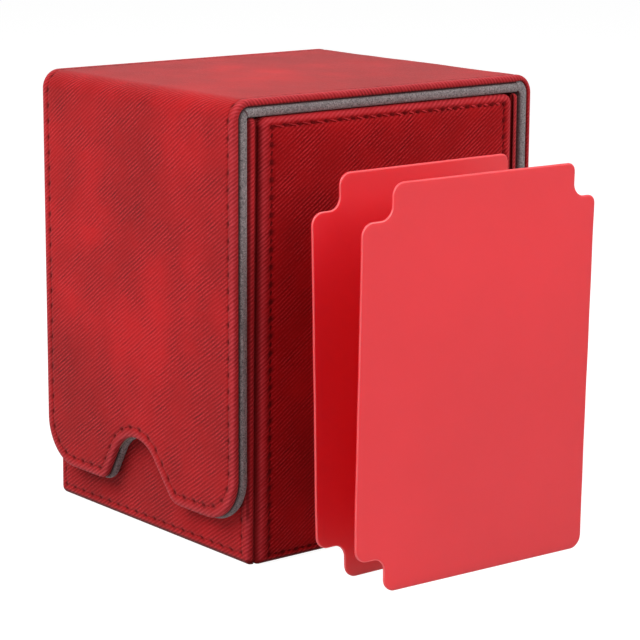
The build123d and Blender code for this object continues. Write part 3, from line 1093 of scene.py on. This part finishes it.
def leather(name, sheen=LEATHER_SHEEN, on_sheet=True):
    """Coated cloth: diagonal ribs with broken lines and crests pinked by painted sheen, clouds,
    worn rims with painted sheen, and painted shade where the mesh is marked dark.
    """
    s = Shader(name)
    flat = s.sheet_place() if on_sheet else s.object_place()
    turn = {"Vector": flat, "Angle": -RIB_ANGLE}
    turned = s.add("VectorRotate", turn, rotation_type="Z_AXIS").outputs[0]
    parts = s.add("SeparateXYZ", {0: turned})
    along, across = parts.outputs[0], parts.outputs[1]
    wander = 0.0
    for scale, reach in RIB_WANDER:
        wander = s.math("MULTIPLY_ADD", s.noise(flat, scale), reach, wander)
    phase = s.math("MULTIPLY", s.math("ADD", across, wander), 2 * pi / RIB_PITCH)
    rib = s.math("MULTIPLY_ADD", s.math("SINE", phase), 0.5, 0.5)
    streaks = s.noise(s.stretched(along, across, STREAK_SQUEEZE), STREAK_SCALE, 3.0, 0.6)
    streak = s.spread(streaks, 0.3, 0.7)
    breaks = s.noise(s.stretched(along, across, BREAK_SQUEEZE), BREAK_SCALE, 2.0, 0.6)
    unbroken = s.spread(breaks, 0.35, 0.65)
    patch = s.spread(s.noise(flat, PATCH_SCALE), 0.36, 0.62, 0.45, 1.3)
    cloud = s.mark("cloud") if on_sheet else s.spread(s.noise(flat, 0.045), 0.36, 0.64)
    rim = s.mark("rim")
    tone = s.mix(cloud, LEATHER_DARK, LEATHER_LIGHT)

    groove = s.math("POWER", s.math("SUBTRACT", 1.0, rib), GROOVE_POWER)
    for mark, left in zip((streak, unbroken, cloud, rim), GROOVE_LEFT):
        groove = s.math("MULTIPLY", groove, s.spread(mark, 0.0, 1.0, 1.0, left))
    tone = s.mix(s.math("MULTIPLY", groove, patch, use_clamp=True), tone, LEATHER_GROOVE)

    # Crests, lighter by the weave and pinker as painted sheen
    crest = s.math("POWER", rib, CREST_POWER)
    for share in (unbroken, patch, CREST_STRENGTH):
        crest = s.math("MULTIPLY", crest, share)
    tone = s.mix(crest, tone, LEATHER_CREST)

    # Worn rims, lighter and pinker: partly wear, partly painted sheen
    worn_and_sheen = s.math("MULTIPLY", rim, s.spread(streak, 0.0, 1.0, 0.3, 0.7))
    worn_and_sheen = s.math("MULTIPLY", worn_and_sheen, s.spread(rib, 0.1, 0.9, 0.5, 1.1))
    tone = s.mix(worn_and_sheen, tone, LEATHER_WORN_AND_SHEEN)
    # Painted shade where the mesh is marked dark
    tone = s.mix(s.spread(s.mark("dark"), 0.06, 0.92, 0.0, 0.93), tone, LEATHER_PAINTED_SHADE)

    height = s.math("MULTIPLY_ADD", streak, STREAK_SHARE, s.math("MULTIPLY", rib, RIB_SHARE))
    height = s.math("MULTIPLY_ADD", s.noise(flat, GRAIN_SCALE, 2.0, 0.6), GRAIN_SHARE, height)
    return s.finish(
        Base_Color=tone, Roughness=s.spread(rib, 0.0, 1.0, 0.68, 0.52), Specular_IOR_Level=0.04,
        Sheen_Weight=sheen, Sheen_Roughness=0.6, Normal=s.bump(height, RIB_HEIGHT),
    )


def thread():
    """Sewing thread of the leather's red, with its twist, painted dark as shade where it is sunk
    and in the needle holes.
    """
    s = Shader("red_thread")
    parts = s.add("SeparateXYZ", {0: s.sheet_place()})
    lay = s.math("MULTIPLY_ADD", parts.outputs[1], 2.5, parts.outputs[0])
    twist = s.math("MULTIPLY_ADD", s.math("SINE", s.math("MULTIPLY", lay, 4 * pi)), 0.5, 0.5)
    tone = s.mix(twist, colour(168, 28, 34), colour(212, 60, 66))
    # Painted shade on sunk thread and on the beads in the needle holes
    tone = s.mix(s.mark("dark"), tone, colour(104, 2, 6))
    return s.finish(
        Base_Color=tone, Roughness=0.7, Specular_IOR_Level=0.08, Normal=s.bump(twist, 0.05)
    )


def felt():
    """Grey microfibre: matted fibres, fine specks, slow clouds and painted shade where marked dark.
    """
    s = Shader("grey_felt")
    place = s.object_place()
    fibres = s.noise(place, 1.9, 4.0, 0.7)
    specks = s.noise(place, 3.6, 2.0, 0.6)
    cloud = s.noise(place, 0.25)
    matted = s.math("MULTIPLY_ADD", specks, 0.6, s.math("MULTIPLY", fibres, 0.6))
    tone = s.mix(s.spread(matted, 0.42, 0.78), colour(56, 52, 53), colour(184, 174, 174))
    tone = s.mix(s.spread(cloud, 0.3, 0.7, 0.0, 0.35), tone, colour(104, 100, 104))
    # Painted shade where the felt is marked dark
    tone = s.mix(s.mark("dark"), tone, colour(72, 42, 44))
    return s.finish(
        Base_Color=tone, Roughness=0.95, Specular_IOR_Level=0.1, Sheen_Weight=0.15,
        Sheen_Roughness=0.5, Normal=s.bump(fibres, 0.25),
    )


def plastic():
    """Frosted plastic sheet, with a painted highlight at its cut edges, strongest at the near ones.
    """
    s = Shader("divider_plastic")
    place = s.object_place()
    cloud = s.noise(place, 0.05)
    frost = s.noise(place, 3.5, 3.0, 0.6)
    tone = s.mix(s.spread(cloud, 0.3, 0.7), colour(233, 14, 34), colour(238, 18, 38))
    tone = s.mix(s.spread(frost, 0.3, 0.7, 0.0, 0.06), tone, colour(230, 50, 56))
    along = s.add("SeparateXYZ", {0: s.sheet_place()}).outputs[0]
    # Painted highlight on the cut edges, strongest at the near ones
    near_edge_highlight = s.spread(along, DIVIDER_NOTCH, DIVIDER_NOTCH + 2, 0.85, 0.1)
    edge = s.math("MULTIPLY", s.spread(s.mark("rim"), 0.97, 1.0), near_edge_highlight)
    tone = s.mix(edge, tone, colour(255, 104, 108))
    return s.finish(
        Base_Color=tone, Roughness=s.spread(frost, 0.3, 0.7, 0.44, 0.52), Specular_IOR_Level=0.74,
        Subsurface_Weight=0.8, Subsurface_Radius=(1.0, 0.1, 0.1), Subsurface_Scale=3.0 * MM,
        Normal=s.bump(frost, 0.006),
    )


def paper(name, dark, light):
    """Pressed paper board with fibres."""
    s = Shader(name)
    fibres = s.noise(s.object_place(), 1.6, 5.0, 0.7)
    tone = s.mix(s.spread(fibres, 0.3, 0.7), dark, light)
    return s.finish(Base_Color=tone, Roughness=0.9, Normal=s.bump(fibres, 0.08))


def foam():
    """Open foam with small cells."""
    s = Shader("foam")
    cells = s.add("TexVoronoi", {"Vector": s.object_place(), "Scale": 1.4})
    depth = cells.outputs["Distance"]
    tone = s.mix(depth, colour(190, 186, 172), colour(226, 222, 208))
    return s.finish(Base_Color=tone, Roughness=0.95, Normal=s.bump(depth, 0.3))


def magnet():
    """Plated steel, lightly brushed."""
    s = Shader("magnet")
    brushed = s.noise(s.object_place(), 3.0, 4.0, 0.7)
    tone = s.mix(brushed, colour(150, 152, 156), colour(205, 206, 210))
    return s.finish(Base_Color=tone, Metallic=1.0, Roughness=s.spread(brushed, 0.0, 1.0, 0.18, 0.4))


def dress_all(cover, box, dividers):
    """One material for each piece, and for each node that shows as it is."""
    red = leather("red_leather")
    # A duller copy of the leather for the sides: painted light, standing in for their dimmer light
    side_red_shaded = leather("red_leather_side", sheen=SIDE_SHADED_SHEEN)
    red_thread = thread()
    grey = felt()
    on_cover = {"leather": red, "lining": grey, "stitching": red_thread}
    on_box = {"stitching": red_thread, "left": side_red_shaded, "right": side_red_shaded}
    sheet_plastic = plastic()
    on_nodes = {
        "skin": leather("red_leather_base", on_sheet=False),
        "lining": grey,
        "board": paper("greyboard", colour(120, 114, 104), colour(158, 152, 140)),
        "backing": paper("backing_sheet", colour(176, 168, 150), colour(206, 200, 184)),
        "foam": foam(),
        "magnets": magnet(),
        "divider": sheet_plastic,
    }
    dressed = [(piece, on_cover[key.split("_")[0]]) for key, piece in cover.items()]
    dressed += [(piece, on_box.get(name, red)) for name, piece in box.items()]
    dressed += [(piece, sheet_plastic) for piece in dividers]
    dressed += [(node, on_nodes[name.split("_")[-1]]) for name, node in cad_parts.items()]
    for piece, material in dressed:
        piece.data.materials.clear()
        piece.data.materials.append(material)


# The stage: the world's light, the floor by itself and as it is seen, and two soft lamps, each with
# its azimuth, its elevation and its power
WORLD_LEVEL = 0.05
FLOOR_SIZE = 3000.0
WHITE = (1, 1, 1, 1)
FLOOR_TONE = (0.55, 0.55, 0.55, 1)
FLOOR_GLOW = 0.955
FLOOR_SHADE = (0.22, 0.22, 0.22, 1)
LAMP_AIM = (0, 0, 55)
LAMP_DISTANCE = 900.0
LAMP_SIZE = 700.0
LAMPS = {"left_box": (-8, 47.5, 9.8), "right_box": (116, 38, 6.5)}


def make_world():
    """Even white light, and white where it is looked at."""
    s = Shader("studio", bpy.data.worlds)
    level = s.spread(s.seen(), 0.0, 1.0, WORLD_LEVEL, 1.0)
    ground = s.add("Background", {"Color": WHITE, "Strength": level})
    bpy.context.scene.world = s.end(ground, "OutputWorld")


def make_floor():
    """A plain white floor that keeps a faint shadow."""
    s = Shader("floor")
    lit = s.add("BsdfDiffuse", {"Color": FLOOR_TONE}).outputs[0]
    pale = s.add("BsdfDiffuse", {"Color": FLOOR_SHADE}).outputs[0]
    glow = s.add("Emission", {"Color": WHITE, "Strength": FLOOR_GLOW}).outputs[0]
    white = s.add("AddShader", {0: pale, 1: glow}).outputs[0]
    choice = s.add("MixShader", {0: s.seen(), 1: lit, 2: white})
    half = FLOOR_SIZE / 2 * MM
    corners = [(-half, -half, 0), (half, -half, 0), (half, half, 0), (-half, half, 0)]
    mesh = bpy.data.meshes.new("floor")
    mesh.from_pydata(corners, [], [(0, 1, 2, 3)])
    mesh.materials.append(s.end(choice))
    floor = add_object("floor", mesh)


def make_lamp(name, azimuth, elevation, power):
    """A square soft light that faces the case, placed as a view of it is."""
    a, e = radians(azimuth), radians(elevation)
    toward = Vector((sin(a) * cos(e), -cos(a) * cos(e), sin(e)))
    lamp = bpy.data.lights.new(name, "AREA")
    lamp.size = LAMP_SIZE * MM
    lamp.energy = power
    lamp_object = add_object(name, lamp)
    lamp_object.location = (Vector(LAMP_AIM) + toward * LAMP_DISTANCE) * MM
    lamp_object.rotation_euler = toward.to_track_quat("Z", "Y").to_euler()


def make_camera():
    """The photograph's camera."""
    data = bpy.data.cameras.new("camera")
    data.lens = CAMERA_LENS
    data.sensor_width = CAMERA_SENSOR
    data.clip_start = CAMERA_NEAR * MM
    camera = add_object("camera", data)
    pose = Matrix.Translation(Vector(CAMERA_PLACE) * MM)
    for degrees, axis in CAMERA_TURNS:
        pose = pose @ Matrix.Rotation(radians(degrees), 4, axis)
    camera.matrix_world = pose
    bpy.context.scene.camera = camera


cover_pieces = make_cover()
bend_cover(cover_pieces)
box_pieces = make_box()
divider_pieces = [
    make_divider("inner_divider", INNER_FAR_NOTCH, INNER_WARP),
    make_divider("outer_divider", OUTER_FAR_NOTCH, OUTER_WARP),
]
dress_all(cover_pieces, box_pieces, divider_pieces)
make_world()
make_floor()
for lamp_name, lamp_values in LAMPS.items():
    make_lamp(lamp_name, *lamp_values)
make_camera()
bpy.context.scene.view_settings.view_transform = "Standard"
